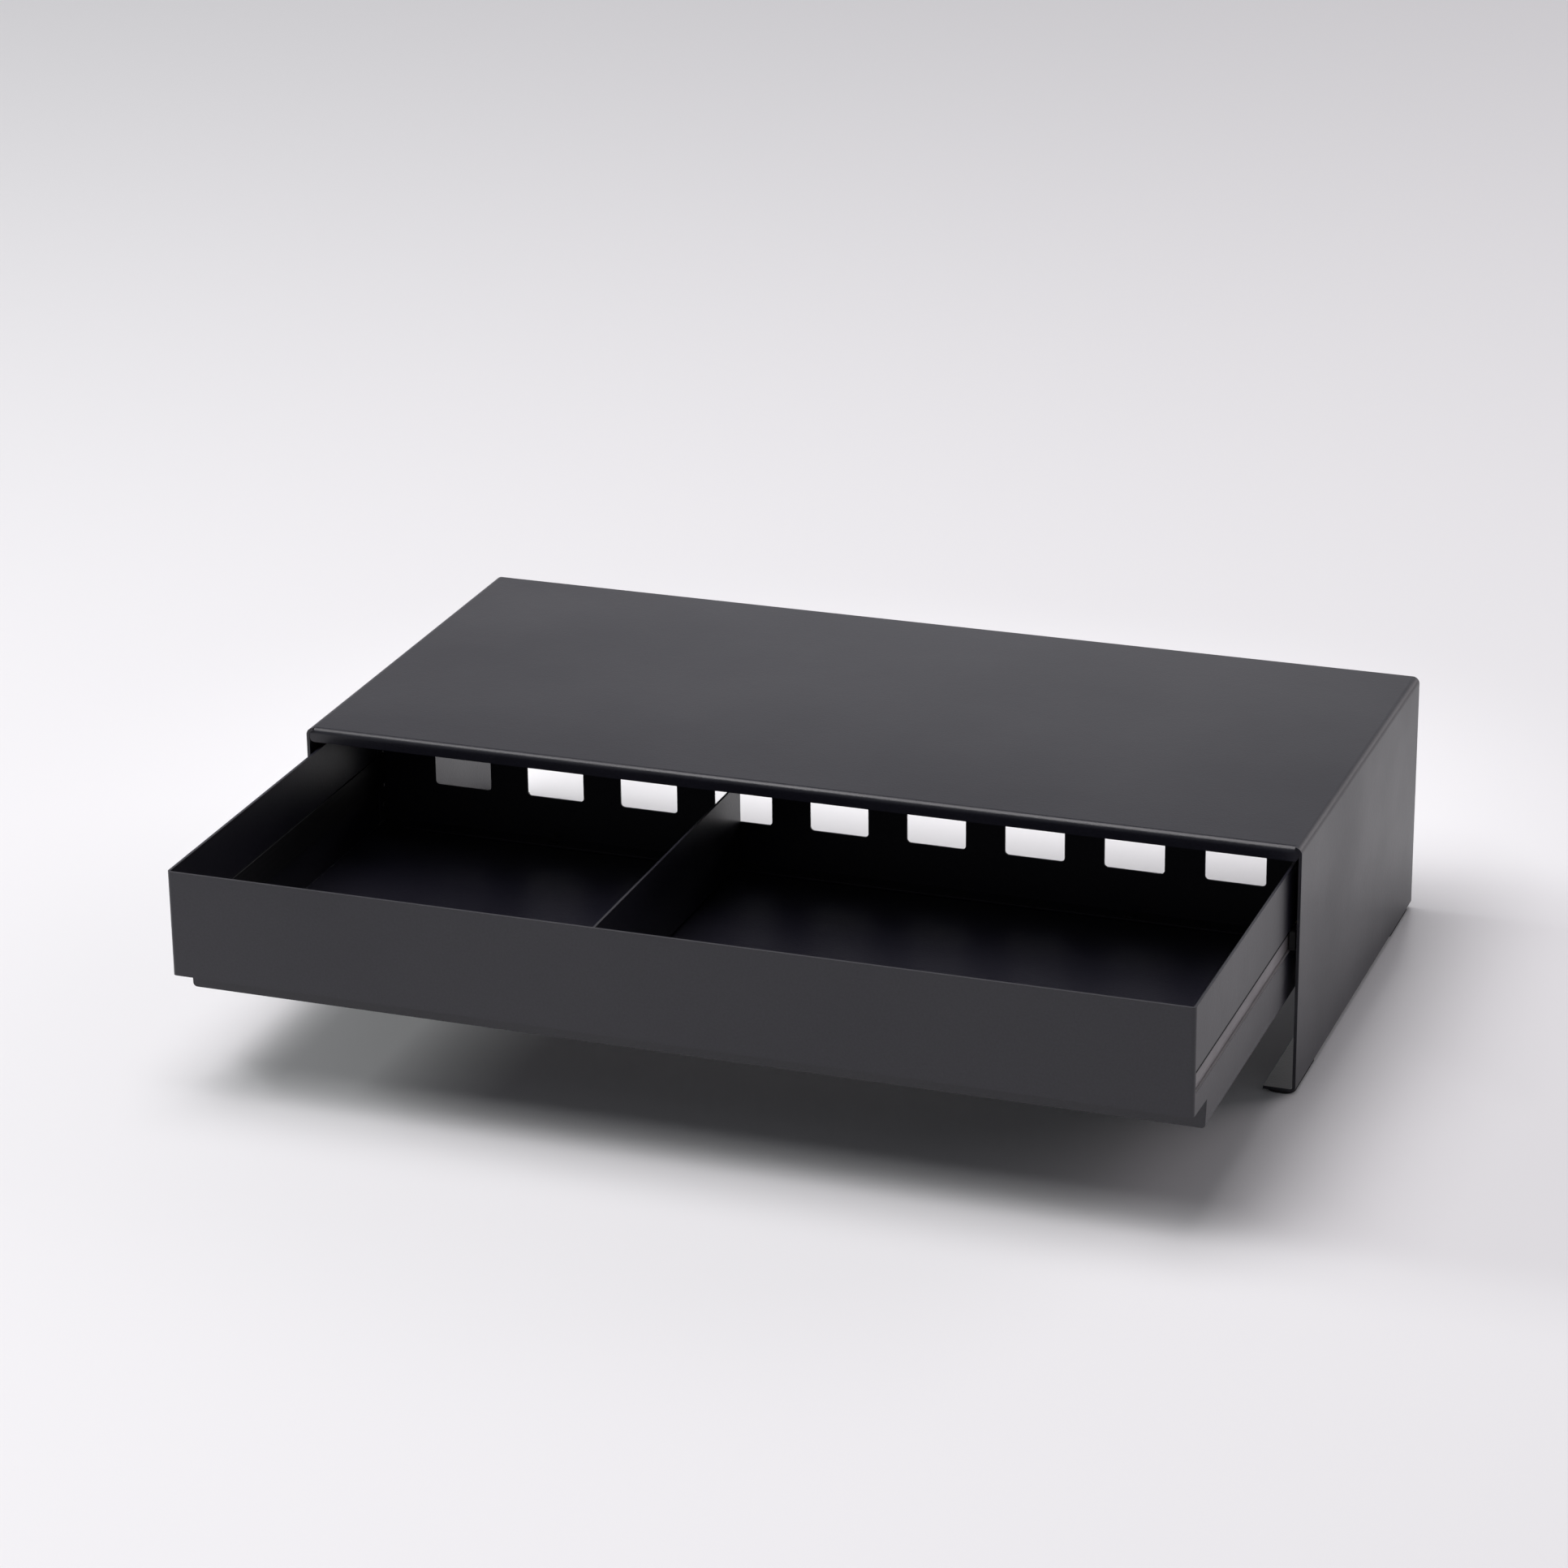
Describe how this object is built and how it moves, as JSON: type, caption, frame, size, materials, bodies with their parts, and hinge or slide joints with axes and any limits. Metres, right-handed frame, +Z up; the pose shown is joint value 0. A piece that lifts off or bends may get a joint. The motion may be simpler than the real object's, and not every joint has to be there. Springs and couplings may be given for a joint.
{
  "type": "monitor riser stand",
  "caption": "Low folded sheet-metal monitor riser with a shallow front drawer, divided inside and windowed at the rear for cables, on slim ball-bearing slides.",
  "frame": {"origin": "on the desk surface, under the middle of the outline of the stand with its drawer pulled out as stored", "axes": "+Z up, +X to the right of a person facing the drawer front, -Y the way the drawer pulls out"},
  "size_m": [0.5, 0.402, 0.1245],
  "materials": {
    "black_steel": "fine-textured black powder coat",
    "zinc": "bright zinc plate",
    "dark_zinc": "black zinc plate",
    "rubber": "matt",
    "nylon": "moulded, matt",
    "cage": "plain strip with steel balls"
  },
  "bodies": {
    "shell": {"riser_shell": "black_steel", "foot_pad_front_right": "rubber", "foot_pad_front_left": "rubber", "foot_pad_rear_right": "rubber", "foot_pad_rear_left": "rubber", "slide_rail_right": "dark_zinc", "slide_rail_left": "dark_zinc", "rail_buffer_right": "nylon", "rail_buffer_left": "nylon", "rail_boss_front_right": "black_steel", "rail_boss_front_left": "black_steel", "rail_screw_front_right": "dark_zinc", "rail_screw_front_left": "dark_zinc", "rail_boss_middle_right": "black_steel", "rail_boss_middle_left": "black_steel", "rail_screw_middle_right": "dark_zinc", "rail_screw_middle_left": "dark_zinc", "rail_boss_rear_right": "black_steel", "rail_boss_rear_left": "black_steel", "rail_screw_rear_right": "dark_zinc", "rail_screw_rear_left": "dark_zinc"},
    "drawer": {"slide_strip_right": "zinc", "slide_strip_left": "zinc", "drawer_tray": "black_steel", "drawer_back": "black_steel", "divider": "black_steel", "divider_rivet_front": "dark_zinc", "divider_rivet_rear": "dark_zinc", "back_floor_rivet_left": "dark_zinc", "back_floor_rivet_right": "dark_zinc", "back_tab_rivet_low_right": "dark_zinc", "back_tab_rivet_low_left": "dark_zinc", "back_tab_rivet_high_right": "dark_zinc", "back_tab_rivet_high_left": "dark_zinc"},
    "cage_right": {"ball_cage_right": "cage"},
    "cage_left": {"ball_cage_left": "cage"}
  },
  "joints": [
    {"name": "drawer_slide", "type": "slide", "parent": "shell", "child": "drawer", "axis": [0, -1, 0], "range_m": [-0.163, 0.006]},
    {"name": "cage_right_slide", "type": "slide", "parent": "shell", "child": "cage_right", "axis": [0, -1, 0], "range_m": [-0.0815, 0.003]},
    {"name": "cage_left_slide", "type": "slide", "parent": "shell", "child": "cage_left", "axis": [0, -1, 0], "range_m": [-0.0815, 0.003]}
  ],
  "couplings": [
    {"joint": "cage_right_slide", "follows": "drawer_slide", "ratio": 0.5},
    {"joint": "cage_left_slide", "follows": "drawer_slide", "ratio": 0.5}
  ]
}
